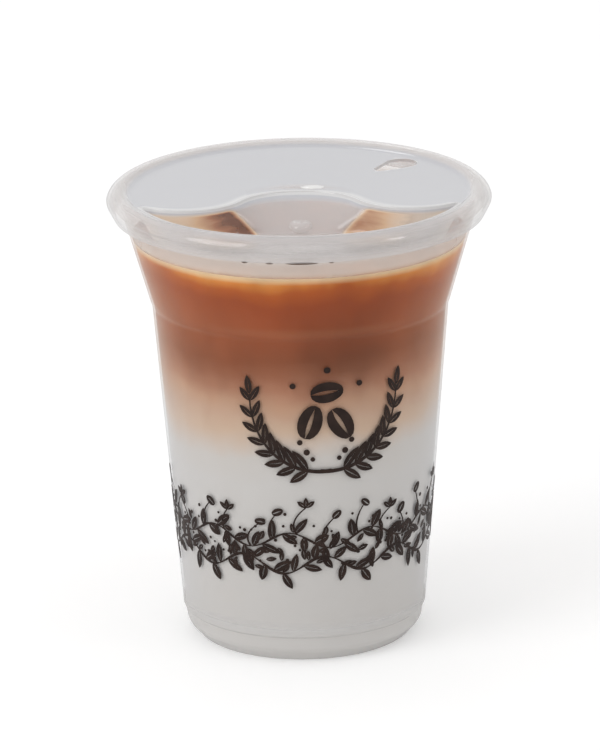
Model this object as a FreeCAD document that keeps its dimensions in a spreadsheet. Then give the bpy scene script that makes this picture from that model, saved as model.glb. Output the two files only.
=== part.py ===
"""A lidded take-away cup of iced coffee over milk: a clear flared cup with a rolled rim, a snap-on sip lid
with a sunken front, and the drink in two layers. Millimetres, +Z up, origin under the middle of the foot."""
import FreeCAD
import Part
import Sketcher
import math
import os
import re

# Every driving size of the object, in millimetres or degrees: name, value, what it is.
SIZES = [
    # the cup, from the table up
    ("foot_inner_radius", 26.4, "inner edge of the standing ring"),
    ("foot_radius", 28.4, "outer edge of the standing ring"),
    ("heel_radius", 31.4, "outside of the rounded heel"),
    ("heel_height", 3.4, "height of the heel's outside corner"),
    ("base_ring_height", 7.2, "height of the ring where the heel meets the wall"),
    ("base_ring_radius", 32.0, "outside of the heel just under that ring"),
    ("base_ring_step", 0.5, "how far the wall stands out over the heel"),
    ("shoulder_drop", 28.7, "foot of the flare below the rim's top"),
    ("shoulder_radius", 39.75, "outside of the flare at its foot"),
    ("ledge_step", 0.45, "how far the flare's foot stands out over the wall"),
    ("ledge_height", 1.0, "height of that step"),
    ("cup_height", 121.0, "top of the rolled rim"),
    ("rim_radius", 49.1, "outside of the rolled rim"),
    ("rim_roll_radius", 1.6, "radius of the roll's section"),
    ("wall", 0.8, "thickness of the cup's wall, measured level"),
    ("floor_rise", 2.4, "underside of the floor above the table"),
    ("floor_thickness", 1.2, "thickness of the floor"),
    ("ledge_round", 2.0, "rounding of the step under the flare"),
    ("heel_round", 3.0, "rounding of the heel"),
    ("floor_round", 2.6, "rounding inside, where floor meets wall"),
    # the drink
    ("milk_level", 75.0, "height where the milk gives way to the coffee"),
    ("headspace", 11.7, "top of the drink below the rim's top"),
    # the lid's rim
    ("lid_wall", 0.8, "thickness of the lid"),
    ("skirt_room", 1.1, "room between the roll and the widest part of the skirt"),
    ("skirt_drop", 5.4, "how far the skirt hangs below the rim's top"),
    ("skirt_tuck", 2.0, "how far the skirt draws in from its widest part to its lower edge"),
    ("lip_crown", 0.6, "how far the lip's crest is thicker than the lid's wall"),
    ("lip_outset", 1.1, "outer edge of the lip's crest beyond the middle of the roll"),
    ("lip_inset", 1.0, "inner edge of the lip's crest within the middle of the roll"),
    ("lip_round", 0.7, "rounding of the lip's crest"),
    ("plug_gap", 0.3, "clearance between the roll's inside and what hangs inside it"),
    # the lid's top: a raised panel over a sunken front, which has a round bay between two lobes
    ("panel_drop", 1.2, "panel's edge below the lip's crest"),
    ("panel_dish", 0.6, "how far the panel's middle lies below its edge"),
    ("sunk_depth", 8.0, "depth of the sunken floor below the panel's edge"),
    ("sunk_draft", 2.0, "how far the sunken wall draws in from the panel's edge to its floor"),
    ("sunk_round", 1.5, "rounding of the sunken floor's edge"),
    ("bay_back", 0.5, "back of the bay, along Y"),
    ("bay_depth", 19.0, "how far the lobes come forward of the bay's back"),
    ("lobe_inset", 14.0, "middle of each lobe within the sunken front's round edge"),
    ("lobe_reach", 2.5, "how far the lobe's circle would pass that edge"),
    ("nub_radius", 2.6, "radius of the nub on the sunken floor"),
    ("nub_height", 1.0, "height of the nub"),
    ("nub_inset", 8.5, "middle of the nub in front of the bay's back"),
    # the sip hole, a drop with its wide end outwards
    ("sip_angle", 43.0, "direction of the hole from +X"),
    ("sip_inset", 7.3, "middle of the wide end within the panel's edge"),
    ("sip_length", 7.5, "from the middle of the wide end to that of the narrow end"),
    ("sip_wide_radius", 4.3, "radius of the wide end"),
    ("sip_narrow_radius", 1.8, "radius of the narrow end"),
]

OUT = "parts"
doc = FreeCAD.newDocument("iced_coffee_cup")
sheet = doc.addObject("Spreadsheet::Sheet", "sizes")


def fill_sheet():
    """Writes each size in its own row, with its name as the alias of its cell."""
    for row, (name, size, note) in enumerate(SIZES, start=1):
        sheet.set(f"A{row}", note)
        sheet.set(f"B{row}", str(size))
        sheet.setAlias(f"B{row}", name)
    doc.recompute()


def bound(words):
    """The expression for a size or a sum of sizes, such as 'cup_height - wall'."""
    names = {name for name, _, _ in SIZES}
    return re.sub(r"[a-z_]+", lambda m: f"sizes.{m[0]}" if m[0] in names else m[0], words)


def value(words):
    """The number that such an expression has now."""
    return float(sheet.evalExpression(bound(words)))


def sketch_on(body, name, role, lift=None):
    """A sketch on one of its body's own origin planes, lifted off it by a named height."""
    sketch = body.newObject("Sketcher::SketchObject", name)
    plane = next(f for f in body.Origin.OriginFeatures if f.Role == role)
    sketch.AttachmentSupport = [(plane, "")]
    sketch.MapMode = "FlatFace"
    if lift:
        sketch.setExpression("AttachmentOffset.Base.z", bound(lift))
    return sketch


def pin(sketch, kind, geometry, point, words):
    """Ties one coordinate of a point to the sheet; nought means on the axis."""
    if words == "0":
        axis = -2 if kind == "DistanceX" else -1
        sketch.addConstraint(Sketcher.Constraint("PointOnObject", geometry, point, axis))
        return
    constraint = Sketcher.Constraint(kind, -1, 1, geometry, point, value(words))
    index = sketch.addConstraint(constraint)
    sketch.setExpression(f"Constraints[{index}]", bound(words))


def pin_radius(sketch, geometry, words):
    """Ties the radius of an arc to the sheet."""
    index = sketch.addConstraint(Sketcher.Constraint("Radius", geometry, value(words)))
    sketch.setExpression(f"Constraints[{index}]", bound(words))


def closed_profile(body, name, corners):
    """A closed outline of straight lines on the XZ plane, each corner tied to the sheet."""
    sketch = sketch_on(body, name, "XZ_Plane")
    places = [FreeCAD.Vector(value(x), value(z), 0) for x, z in corners]
    count = len(corners)
    for i in range(count):
        sketch.addGeometry(Part.LineSegment(places[i], places[(i + 1) % count]), False)
    for i in range(count):
        sketch.addConstraint(Sketcher.Constraint("Coincident", i, 2, (i + 1) % count, 1))
    for i, (x, z) in enumerate(corners):
        pin(sketch, "DistanceX", i, 1, x)
        pin(sketch, "DistanceY", i, 1, z)
    return sketch


def revolved(name, corners):
    """A body turned about Z from a closed outline."""
    body = doc.addObject("PartDesign::Body", name)
    sketch = closed_profile(body, f"{name}_outline", corners)
    turn = body.newObject("PartDesign::Revolution", f"{name}_turned")
    turn.Profile = sketch
    turn.ReferenceAxis = (sketch, ["V_Axis"])
    turn.Angle = 360
    doc.recompute()
    return body


def ring_edges(shape, radius, height, slack=0.05):
    """The names of the round edges about Z with this radius at this height."""
    found = []
    for i, edge in enumerate(shape.Edges, start=1):
        curve = edge.Curve
        if not isinstance(curve, Part.Circle):
            continue
        on_axis = math.hypot(curve.Center.x, curve.Center.y) < slack
        if on_axis and abs(curve.Radius - radius) < slack and abs(curve.Center.z - height) < slack:
            found.append(f"Edge{i}")
    if not found:
        raise ValueError(f"no round edge of radius {radius} at height {height}")
    return found


def rounded(body, name, edges, radius):
    """A fillet on the body's last feature."""
    base = body.Tip
    fillet = body.newObject("PartDesign::Fillet", name)
    fillet.Base = (base, edges)
    fillet.setExpression("Radius", bound(radius))
    doc.recompute()
    return fillet


def rounded_ring(body, name, radius, height, size):
    """A fillet on the ring of edges at a named radius and height."""
    edges = ring_edges(body.Tip.Shape, value(radius), value(height))
    return rounded(body, name, edges, size)


# ---------------------------------------------------------------- the cup

HEEL_TOP = "base_ring_height + base_ring_step"
WALL_FOOT = "(base_ring_radius + base_ring_step)"
LEDGE_FOOT = "cup_height - shoulder_drop - ledge_height"
FLARE_FOOT = "cup_height - shoulder_drop"
LEDGE_RADIUS = "(shoulder_radius - ledge_step)"
ROLL_MIDDLE = "(rim_radius - rim_roll_radius)"
ROLL_HEIGHT = "cup_height - rim_roll_radius"


def cup_outside():
    """The cup's outer form, solid: foot, heel, base ring, straight wall, step and flare."""
    body = revolved("cup_outside", [
        ("0", "floor_rise"),
        ("foot_inner_radius - floor_rise / 2", "floor_rise"),
        ("foot_inner_radius", "0"),
        ("foot_radius", "0"),
        ("heel_radius", "heel_height"),
        ("base_ring_radius", "base_ring_height"),
        (WALL_FOOT, HEEL_TOP),
        (LEDGE_RADIUS, LEDGE_FOOT),
        ("shoulder_radius", FLARE_FOOT),
        (ROLL_MIDDLE, ROLL_HEIGHT),
        ("0", ROLL_HEIGHT),
    ])
    rounded_ring(body, "ledge_foot_outside", LEDGE_RADIUS, LEDGE_FOOT, "ledge_round")
    rounded_ring(body, "ledge_top_outside", "shoulder_radius", FLARE_FOOT, "ledge_round")
    rounded_ring(body, "heel_outside", "heel_radius", "heel_height", "heel_round")
    return body


def cup_inside(name):
    """The space inside the cup's wall, from the floor up past the rim."""
    body = revolved(name, [
        ("0", "floor_rise + floor_thickness"),
        ("heel_radius - wall", "floor_rise + floor_thickness"),
        ("base_ring_radius - wall", "base_ring_height"),
        (f"{WALL_FOOT} - wall", HEEL_TOP),
        (f"{LEDGE_RADIUS} - wall", LEDGE_FOOT),
        ("shoulder_radius - wall", FLARE_FOOT),
        (f"{ROLL_MIDDLE} - wall", ROLL_HEIGHT),
        (f"{ROLL_MIDDLE} - wall", "cup_height + rim_roll_radius"),
        ("0", "cup_height + rim_roll_radius"),
    ])
    rounded_ring(body, f"{name}_ledge_foot", f"{LEDGE_RADIUS} - wall", LEDGE_FOOT, "ledge_round")
    rounded_ring(body, f"{name}_ledge_top", "shoulder_radius - wall", FLARE_FOOT, "ledge_round")
    rounded_ring(body, f"{name}_floor", "heel_radius - wall", "floor_rise + floor_thickness", "floor_round")
    return body


def rim_roll():
    """The rolled rim: a ring of round section on top of the flare."""
    ring = doc.addObject("Part::Torus", "rim_roll")
    ring.setExpression("Radius1", bound(ROLL_MIDDLE))
    ring.setExpression("Radius2", bound("rim_roll_radius"))
    ring.setExpression("Placement.Base.z", bound(ROLL_HEIGHT))
    return ring


def cup():
    """The outer form with its rim, hollowed by the inner form."""
    wall = doc.addObject("Part::Cut", "cup_wall")
    wall.Base = cup_outside()
    wall.Tool = cup_inside("cup_hollow")
    whole = doc.addObject("Part::Fuse", "cup")
    whole.Base = wall
    whole.Tool = rim_roll()
    whole.Label = "cup"
    return whole


# ---------------------------------------------------------------- the drink

def layer(name, low, high):
    """The drink between two levels: what the cup holds there, face to face with its wall."""
    slab = doc.addObject("Part::Cylinder", f"{name}_slab")
    slab.setExpression("Radius", bound("rim_radius"))
    slab.setExpression("Height", bound(f"{high} - ({low})"))
    slab.setExpression("Placement.Base.z", bound(low))
    drink = doc.addObject("Part::Common", name)
    drink.Base = cup_inside(f"{name}_space")
    drink.Tool = slab
    drink.Label = name
    return drink


# ---------------------------------------------------------------- the lid

WIDEST = "(rim_radius + skirt_room + lid_wall)"
SKIRT_FOOT = "cup_height - skirt_drop"
LIP_TOP = "cup_height + lid_wall + lip_crown"
PANEL_EDGE = "(rim_radius - 2 * rim_roll_radius - plug_gap - lid_wall)"
PANEL_TOP = f"{LIP_TOP} - panel_drop"
PANEL_MIDDLE = f"{PANEL_TOP} - panel_dish"
SUNK_FLOOR = f"{PANEL_TOP} - sunk_depth"
SUNK_EDGE = f"({PANEL_EDGE} - lid_wall)"
LOBE_SIDE = f"({SUNK_EDGE} - lobe_inset)"
LOBE_RADIUS = "(lobe_inset + lobe_reach)"
# Bay and lobes touch where the distance between their middles is the sum of their radii.
BAY_RADIUS = f"(({LOBE_SIDE}^2 + bay_depth^2) / (2 * bay_depth) - {LOBE_RADIUS})"
BAY_MIDDLE = f"(bay_back - {BAY_RADIUS})"
LOBE_MIDDLE = f"(bay_back - bay_depth + {LOBE_RADIUS})"
SIP_WIDE = f"({PANEL_EDGE} - sip_inset)"
SIP_NARROW = f"({SIP_WIDE} - sip_length)"


def lid_shell():
    """Skirt, lip and panel as one turned shell that sits on the rolled rim."""
    body = revolved("lid_shell", [
        ("0", PANEL_MIDDLE),
        (PANEL_EDGE, PANEL_TOP),
        (f"{ROLL_MIDDLE} - lip_inset", LIP_TOP),
        (f"{ROLL_MIDDLE} + lip_outset", LIP_TOP),
        (f"{WIDEST} - lid_wall", "cup_height"),
        (WIDEST, ROLL_HEIGHT),
        (f"{WIDEST} - skirt_tuck", SKIRT_FOOT),
        (f"{WIDEST} - skirt_tuck - lid_wall", SKIRT_FOOT),
        (f"{WIDEST} - lid_wall", ROLL_HEIGHT),
        (f"{ROLL_MIDDLE} + lip_outset", "cup_height"),
        (f"{ROLL_MIDDLE} - lip_inset", "cup_height"),
        (f"{PANEL_EDGE} + lid_wall", f"{PANEL_TOP} - lid_wall"),
        ("0", f"{PANEL_MIDDLE} - lid_wall"),
    ])
    rounded_ring(body, "lip_inside", f"{ROLL_MIDDLE} - lip_inset", LIP_TOP, "lip_round")
    rounded_ring(body, "lip_outside", f"{ROLL_MIDDLE} + lip_outset", LIP_TOP, "lip_round")
    return body


def arc(x, y, radius, start, end):
    """An arc about a point on a sketch, anticlockwise between two angles in radians."""
    circle = Part.Circle(FreeCAD.Vector(x, y, 0), FreeCAD.Vector(0, 0, 1), radius)
    return Part.ArcOfCircle(circle, start, end)


def sunk_outline(body, name, lift, grow):
    """The sunken front seen from above: a bay between two lobes, inside a round edge. grow widens it."""
    outer, bay, lobe = f"{SUNK_EDGE} + {grow}", f"{BAY_RADIUS} + {grow}", f"{LOBE_RADIUS} - ({grow})"
    edge, side = value(outer), value(LOBE_SIDE)
    bay_y, lobe_y = value(BAY_MIDDLE), value(LOBE_MIDDLE)
    lean = math.atan2(lobe_y - bay_y, side)
    # Each lobe ends on the round edge, at the corner of a triangle with the origin and its middle.
    reach = math.hypot(side, lobe_y)
    opening = math.acos((reach**2 + edge**2 - value(lobe)**2) / (2 * reach * edge))
    corner = math.atan2(lobe_y, side) - opening
    turn = math.atan2(edge * math.sin(corner) - lobe_y, edge * math.cos(corner) - side)

    sketch = sketch_on(body, name, "XY_Plane", lift)
    sketch.addGeometry(arc(0, bay_y, value(bay), lean, math.pi - lean), False)
    sketch.addGeometry(arc(side, lobe_y, value(lobe), math.pi + lean, 2 * math.pi + turn), False)
    sketch.addGeometry(arc(-side, lobe_y, value(lobe), math.pi - turn, 2 * math.pi - lean), False)
    sketch.addGeometry(arc(0, 0, edge, math.pi - corner, 2 * math.pi + corner), False)
    sketch.addConstraint(Sketcher.Constraint("Tangent", 0, 1, 1, 1))
    sketch.addConstraint(Sketcher.Constraint("Tangent", 0, 2, 2, 2))
    sketch.addConstraint(Sketcher.Constraint("Coincident", 1, 2, 3, 2))
    sketch.addConstraint(Sketcher.Constraint("Coincident", 2, 1, 3, 1))
    for geometry, words in enumerate((bay, lobe, lobe, outer)):
        pin_radius(sketch, geometry, words)
    for geometry, x in enumerate(("0", LOBE_SIDE, f"-{LOBE_SIDE}", "0")):
        pin(sketch, "DistanceX", geometry, 3, x)
    for geometry, y in ((0, BAY_MIDDLE), (3, "0")):
        pin(sketch, "DistanceY", geometry, 3, y)
    return sketch


def sunk_form(name, top, floor, grow, round_size):
    """The tapering form of the sunken front, from a top height down to a floor."""
    body = doc.addObject("PartDesign::Body", name)
    # The outline is given at the panel's edge, and the draft carries it on up or down from there.
    rise = f"({top} - ({PANEL_TOP})) / sunk_depth"
    sketch = sunk_outline(body, f"{name}_outline", top, f"{grow} + sunk_draft * {rise}")
    pad = body.newObject("PartDesign::Pad", f"{name}_pad")
    pad.Profile = sketch
    pad.Reversed = True
    pad.setExpression("Length", bound(f"{top} - ({floor})"))
    pad.setExpression("TaperAngle", bound("-1 * atan(sunk_draft / sunk_depth)"))
    doc.recompute()
    low = value(floor)
    edges = [f"Edge{i}" for i, edge in enumerate(pad.Shape.Edges, start=1)
             if all(abs(v.Point.z - low) < 0.01 for v in edge.Vertexes)]
    rounded(body, f"{name}_round", edges, round_size)
    return body


def nub():
    """A low round nub standing on the sunken floor."""
    dome = doc.addObject("Part::Cone", "nub")
    dome.setExpression("Radius1", bound("nub_radius"))
    dome.setExpression("Radius2", bound("nub_radius - nub_height"))
    dome.setExpression("Height", bound("nub_height + lid_wall / 2"))
    dome.setExpression("Placement.Base.y", bound("bay_back - nub_inset"))
    dome.setExpression("Placement.Base.z", bound(f"{SUNK_FLOOR} - lid_wall / 2"))
    return dome


def sip_hole():
    """The drop-shaped hole as a solid that runs through the panel, along X before it is turned."""
    body = doc.addObject("PartDesign::Body", "sip_hole")
    sketch = sketch_on(body, "sip_outline", "XY_Plane", f"{PANEL_MIDDLE} - 2 * lid_wall")
    wide, narrow = value("sip_wide_radius"), value("sip_narrow_radius")
    lean = math.acos((wide - narrow) / value("sip_length"))
    arcs = [
        arc(value(SIP_WIDE), 0, wide, lean - math.pi, math.pi - lean),
        arc(value(SIP_NARROW), 0, narrow, math.pi - lean, math.pi + lean),
    ]
    sketch.addGeometry(arcs, False)
    sketch.addGeometry(Part.LineSegment(arcs[0].EndPoint, arcs[1].StartPoint), False)
    sketch.addGeometry(Part.LineSegment(arcs[1].EndPoint, arcs[0].StartPoint), False)
    for first, first_end, second, second_end in ((0, 2, 2, 1), (2, 2, 1, 1), (1, 2, 3, 1), (3, 2, 0, 1)):
        sketch.addConstraint(Sketcher.Constraint("Tangent", first, first_end, second, second_end))
    for geometry, radius, reach in ((0, "sip_wide_radius", SIP_WIDE), (1, "sip_narrow_radius", SIP_NARROW)):
        pin_radius(sketch, geometry, radius)
        pin(sketch, "DistanceX", geometry, 3, reach)
        pin(sketch, "DistanceY", geometry, 3, "0")
    pad = body.newObject("PartDesign::Pad", "sip_pad")
    pad.Profile = sketch
    pad.setExpression("Length", bound("4 * lid_wall"))
    body.setExpression("Placement.Rotation.Angle", bound("sip_angle"))
    return body


def lid():
    """The shell with the sunken front let into it, its nub, and the sip hole through it."""
    weld = f"{PANEL_MIDDLE} - lid_wall / 4"
    pocket = sunk_form("sunk_pocket", weld, f"{SUNK_FLOOR} - lid_wall", "lid_wall", "sunk_round + lid_wall")
    space = sunk_form("sunk_space", f"{LIP_TOP} + lid_wall", SUNK_FLOOR, "0", "sunk_round")
    solid = doc.addObject("Part::Fuse", "lid_solid")
    solid.Base = lid_shell()
    solid.Tool = pocket
    sunk = doc.addObject("Part::Cut", "lid_sunk")
    sunk.Base = solid
    sunk.Tool = space
    with_nub = doc.addObject("Part::Fuse", "lid_with_nub")
    with_nub.Base = sunk
    with_nub.Tool = nub()
    whole = doc.addObject("Part::Cut", "lid")
    whole.Base = with_nub
    whole.Tool = sip_hole()
    whole.Label = "lid"
    return whole


# ---------------------------------------------------------------- checks and files

def check(parts):
    """Stops unless every object was made and every piece is one valid solid."""
    for thing in doc.Objects:
        if "Invalid" in thing.State or "Error" in thing.State:
            raise RuntimeError(f"{thing.Name} failed: {thing.State}")
    for part in parts:
        shape = part.Shape
        if shape.isNull() or not shape.isValid() or len(shape.Solids) != 1:
            raise RuntimeError(f"{part.Label} is not one valid solid")
        print(f"{part.Label}: {shape.Volume / 1000:.2f} ml, box {shape.BoundBox}")


def write(parts):
    """One STEP file for each piece, named after it."""
    os.makedirs(OUT, exist_ok=True)
    for part in parts:
        part.Shape.exportStep(os.path.join(OUT, f"{part.Label}.step"))


def main():
    fill_sheet()
    parts = [
        cup(),
        layer("milk", "floor_rise + floor_thickness", "milk_level"),
        layer("coffee", "milk_level", "cup_height - headspace"),
        lid(),
    ]
    doc.recompute()
    check(parts)
    write(parts)


main()
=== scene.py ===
"""An iced coffee over milk in a clear flared cup, under a milky sip lid: the finish of every surface.
Metres, +Z up, the cup's foot on the floor; the shown side faces -Y."""
import math
import random

import bmesh
import bpy
from mathutils import Matrix, Vector


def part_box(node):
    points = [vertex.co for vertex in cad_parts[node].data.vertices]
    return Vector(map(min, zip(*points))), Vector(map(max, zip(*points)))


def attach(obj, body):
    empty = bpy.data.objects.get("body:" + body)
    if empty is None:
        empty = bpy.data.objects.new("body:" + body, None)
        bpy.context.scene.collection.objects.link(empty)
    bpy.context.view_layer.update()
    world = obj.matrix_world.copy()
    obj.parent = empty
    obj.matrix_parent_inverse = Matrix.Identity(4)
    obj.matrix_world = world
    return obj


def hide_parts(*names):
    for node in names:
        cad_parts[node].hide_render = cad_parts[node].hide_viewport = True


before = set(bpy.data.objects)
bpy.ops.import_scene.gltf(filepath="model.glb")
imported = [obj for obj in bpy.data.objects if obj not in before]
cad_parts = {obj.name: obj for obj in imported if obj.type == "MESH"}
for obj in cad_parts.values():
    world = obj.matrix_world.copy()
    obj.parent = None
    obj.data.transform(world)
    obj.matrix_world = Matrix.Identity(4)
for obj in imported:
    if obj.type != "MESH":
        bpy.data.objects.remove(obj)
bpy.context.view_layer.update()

MM = 0.001
TAU = 2 * math.pi

# ---------------------------------------------------------------- sizes, in millimetres

CUP_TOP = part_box("cup")[1] / MM
LID_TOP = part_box("lid")[1] / MM
MILK_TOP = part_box("milk")[1].z / MM
DRINK_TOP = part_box("coffee")[1].z / MM

RIM_HEIGHT, RIM_RADIUS = CUP_TOP.z, CUP_TOP.x
ROLL = 1.6
ROLL_MIDDLE, ROLL_HEIGHT = RIM_RADIUS - ROLL, RIM_HEIGHT - ROLL
ROLL_TUCK = 0.45
WALL = 0.8
FLOOR_UNDER, FLOOR_TOP = 2.4, 3.6

FOOT_INNER, FOOT_OUTER, FOOT_SLOPE = 26.4, 28.4, 1.2
HEEL_RADIUS, HEEL_HEIGHT = 31.4, 3.4
RING_RADIUS, RING_HEIGHT, RING_STEP = 32.0, 7.2, 0.5
WALL_FOOT_RADIUS, WALL_FOOT_HEIGHT = RING_RADIUS + RING_STEP, RING_HEIGHT + RING_STEP
FLARE_RADIUS, FLARE_HEIGHT = 39.75, RIM_HEIGHT - 28.7
FLARE_SLOPE = (ROLL_MIDDLE - FLARE_RADIUS) / (ROLL_HEIGHT - FLARE_HEIGHT)
LEDGE_RADIUS, LEDGE_HEIGHT = FLARE_RADIUS - 0.45, FLARE_HEIGHT - 1.0

# The drink reaches this far into the wall, and creeps this far up it.
DRINK_OVERLAP, DRINK_CREEP = 0.15, 0.7
# The middle of a darker patch in it, painted shade, and how far it fades out.
SHADE_PATCH_MIDDLE, SHADE_PATCH_REACH = (12, -38, 89), 24

LID_WALL = 0.8
LID_RADIUS = LID_TOP.x
LIP_TOP = LID_TOP.z
SKIRT_FOOT, SKIRT_TUCK = RIM_HEIGHT - 5.4, 2.0
RIM_PLAY = 0.3
PANEL_RADIUS = RIM_RADIUS - 2 * ROLL - RIM_PLAY - LID_WALL
PANEL_TOP, PANEL_DISH = LIP_TOP - 1.2, 0.6

# The sunken front: a bay in the middle between two lobes.
SUNK_RADIUS = PANEL_RADIUS - LID_WALL
SUNK_DEPTH, SUNK_DRAFT = 8.0, 2.0
SUNK_FLOOR = PANEL_TOP - SUNK_DEPTH
BAY_BACK, BAY_DEPTH = 0.5, 19.0
LOBE_RADIUS = 16.5
LOBE_SIDE = SUNK_RADIUS - 14.0
LOBE_MIDDLE = BAY_BACK - BAY_DEPTH + LOBE_RADIUS
BAY_RADIUS = (LOBE_SIDE**2 + BAY_DEPTH**2) / (2 * BAY_DEPTH) - LOBE_RADIUS
BAY_MIDDLE = BAY_BACK - BAY_RADIUS

# A scoop slopes from the bay's edge down to the sunken floor, narrowing to a share of its width there. The
# power bends its slope, its sides are soft, and its toe slopes on over the floor.
SCOOP_HALF, SCOOP_FRONT = 18.5, -13.0
SCOOP_NARROWING, SCOOP_POWER, SCOOP_SOFT, SCOOP_TOE = 0.6, 0.8, 1.2, 0.3
# Where the coffee film under the lobes is thickest, on the right; the left mirrors it.
FILM_MIDDLE = (17, -10, 0)

# A low rounded ridge runs round the sunken front, with a clearer groove behind the bay.
RIDGE_HEIGHT, RIDGE_WIDTH = 0.35, 2.1
GROOVE_HALF = 9.0

SIP_ANGLE = math.radians(43)
SIP_REACH, SIP_LENGTH = PANEL_RADIUS - 7.3, 7.5
SIP_WIDE, SIP_NARROW = 4.3, 1.8

# How milky the lid is, from 0 clear to 1. The hollow's steep wall is clear behind the lobes, and turns into a
# milkier horn at each end, between two distances from the middle.
# The ridge's veil also brings the palest tint: painted light on the ridge, the wall just under it and the sip
# hole's edge.
VEIL_PANEL, VEIL_GROOVE, VEIL_PAINTED_LIGHT = 0.93, 0.3, 1.0
VEIL_SCOOP, VEIL_FLOOR, VEIL_STEEP, VEIL_HORN = 0.52, 0.45, 0.02, 0.7
VEIL_LIP, VEIL_SKIRT = 0.52, 0.34
HORN_START, HORN_END = 21, 36

PRINT_THICK = 0.09
BORDER_MIDDLE, EMBLEM_MIDDLE, EMBLEM_ASIDE = 34.0, 69, 6.3

# Points round a turned piece, round the sunken front's bay, lobe and front, and from it to the panel's edge.
TURNS = 192
COUNTS = (56, 40, 104)
PANEL_RINGS = 14

PLASTIC_IOR, DRINK_IOR, INK_IOR = 1.47, 1.33, 1.45


def wall_radius(z):
    """Outside of the cup's straight wall at a height."""
    return mix(WALL_FOOT_RADIUS, LEDGE_RADIUS, (z - WALL_FOOT_HEIGHT) / (LEDGE_HEIGHT - WALL_FOOT_HEIGHT))


def mix(a, b, share):
    """From a at a share of 0 to b at 1."""
    return a + (b - a) * share


def smooth_step(low, high, value):
    """From 0 to 1 while a value passes between two others, easing in and out."""
    share = min(max((value - low) / (high - low), 0), 1)
    return share * share * (3 - 2 * share)


# ---------------------------------------------------------------- making pieces

def placed(name, bm, material):
    """A bmesh made an object of the scene, with its material."""
    mesh = bpy.data.meshes.new(name)
    bm.to_mesh(mesh)
    bm.free()
    mesh.materials.append(material)
    obj = bpy.data.objects.new(name, mesh)
    bpy.context.scene.collection.objects.link(obj)
    return obj


def piece(name, bm, material, smooth=True):
    """A bmesh in millimetres made an object in metres, riding on the part's one body."""
    bmesh.ops.scale(bm, vec=(MM, MM, MM), verts=bm.verts)
    for face in bm.faces:
        face.smooth = smooth
    obj = placed(name, bm, material)
    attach(obj, "root")
    return obj


def turned(section, turns=TURNS):
    """A closed form turned about Z from its section, a list of (radius, height, rounding)."""
    bm = bmesh.new()
    verts = [bm.verts.new((radius, 0, height)) for radius, height, _ in section]
    for first, second in zip(verts, verts[1:]):
        bm.edges.new((first, second))
    for i, (_, _, rounding) in enumerate(section):
        if not rounding:
            continue
        here = Vector((section[i][0], 0, section[i][1]))
        ways = [Vector((section[j][0], 0, section[j][1])) - here for j in (i - 1, i + 1)]
        # The arc starts this far along both edges.
        reach = rounding / math.tan(ways[0].angle(ways[1]) / 2)
        vert = next(v for v in bm.verts if (v.co - here).length < 1e-6)
        bmesh.ops.bevel(bm, geom=[vert], offset=reach, offset_type="OFFSET", segments=6, profile=0.5,
                        affect="VERTICES", material=-1)
    bmesh.ops.spin(bm, geom=bm.verts[:] + bm.edges[:], cent=(0, 0, 0), axis=(0, 0, 1), angle=TAU, steps=turns,
                   use_merge=True)
    bmesh.ops.remove_doubles(bm, verts=bm.verts, dist=1e-4)
    bmesh.ops.recalc_face_normals(bm, faces=bm.faces)
    return bm


def skin(rings):
    """A band over rings of as many points each. A ring is (points, veils, film): where its points are, how
    milky each is, and how much of a coffee film may hang there."""
    around, up = len(rings[0][0]), len(rings) - 1
    bm = bmesh.new()
    bmesh.ops.create_grid(bm, x_segments=around, y_segments=up, size=1)
    milky, filmed = bm.verts.layers.float.new("veil"), bm.verts.layers.float.new("film")
    for vert in bm.verts:
        i = round((vert.co.x + 1) / 2 * around) % around
        points, veils, film_share = rings[round((vert.co.y + 1) / 2 * up)]
        vert.co = points[i]
        vert[milky], vert[filmed] = veils[i], film_share
    bmesh.ops.remove_doubles(bm, verts=bm.verts, dist=1e-5)
    return bm


def creased(mesh, degrees=40):
    """Marks the edges that stay sharp under smooth shading."""
    bm = bmesh.new()
    bm.from_mesh(mesh)
    for edge in bm.edges:
        edge.smooth = edge.calc_face_angle(math.pi) < math.radians(degrees)
    bm.to_mesh(mesh)
    bm.free()


def finished(obj, *modifiers):
    """Applies modifiers given as (type, settings) to the object's mesh."""
    for kind, settings in modifiers:
        modifier = obj.modifiers.new(kind.title(), kind)
        for key, setting in settings.items():
            setattr(modifier, key, setting)
    mesh = bpy.data.meshes.new_from_object(obj.evaluated_get(bpy.context.evaluated_depsgraph_get()))
    obj.modifiers.clear()
    old, obj.data = obj.data, mesh
    name = old.name
    bpy.data.meshes.remove(old)
    mesh.name = name
    creased(mesh)


# ---------------------------------------------------------------- nodes

def tree(name):
    """A new material with the empty node tree that its look is built in."""
    material = bpy.data.materials.new(name)
    material.use_nodes = True
    nodes, links = material.node_tree.nodes, material.node_tree.links
    nodes.clear()
    return material, nodes, links


def new(nodes, kind, **settings):
    """A node with some of its settings; a setting named after a socket fills that socket."""
    node = nodes.new(kind)
    for key, setting in settings.items():
        if hasattr(node, key):
            setattr(node, key, setting)
        else:
            node.inputs[key.replace("_", " ")].default_value = setting
    return node


def put(links, value, socket):
    """Fills a socket with a plain value, or links another node's output to it."""
    if isinstance(value, bpy.types.NodeSocket):
        links.new(value, socket)
    else:
        socket.default_value = value


def maths(nodes, links, operation, first, second=0.0, clamp=False):
    """One step of arithmetic."""
    node = new(nodes, "ShaderNodeMath", operation=operation, use_clamp=clamp)
    put(links, first, node.inputs[0])
    put(links, second, node.inputs[1])
    return node.outputs[0]


def spread(nodes, links, value, low, high, start=0.0, end=1.0, smooth=False):
    """From start to end while a value passes between low and high."""
    node = new(nodes, "ShaderNodeMapRange", From_Min=low, From_Max=high,
               interpolation_type="SMOOTHSTEP" if smooth else "LINEAR")
    links.new(value, node.inputs["Value"])
    put(links, start, node.inputs["To Min"])
    put(links, end, node.inputs["To Max"])
    return node.outputs["Result"]


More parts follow.
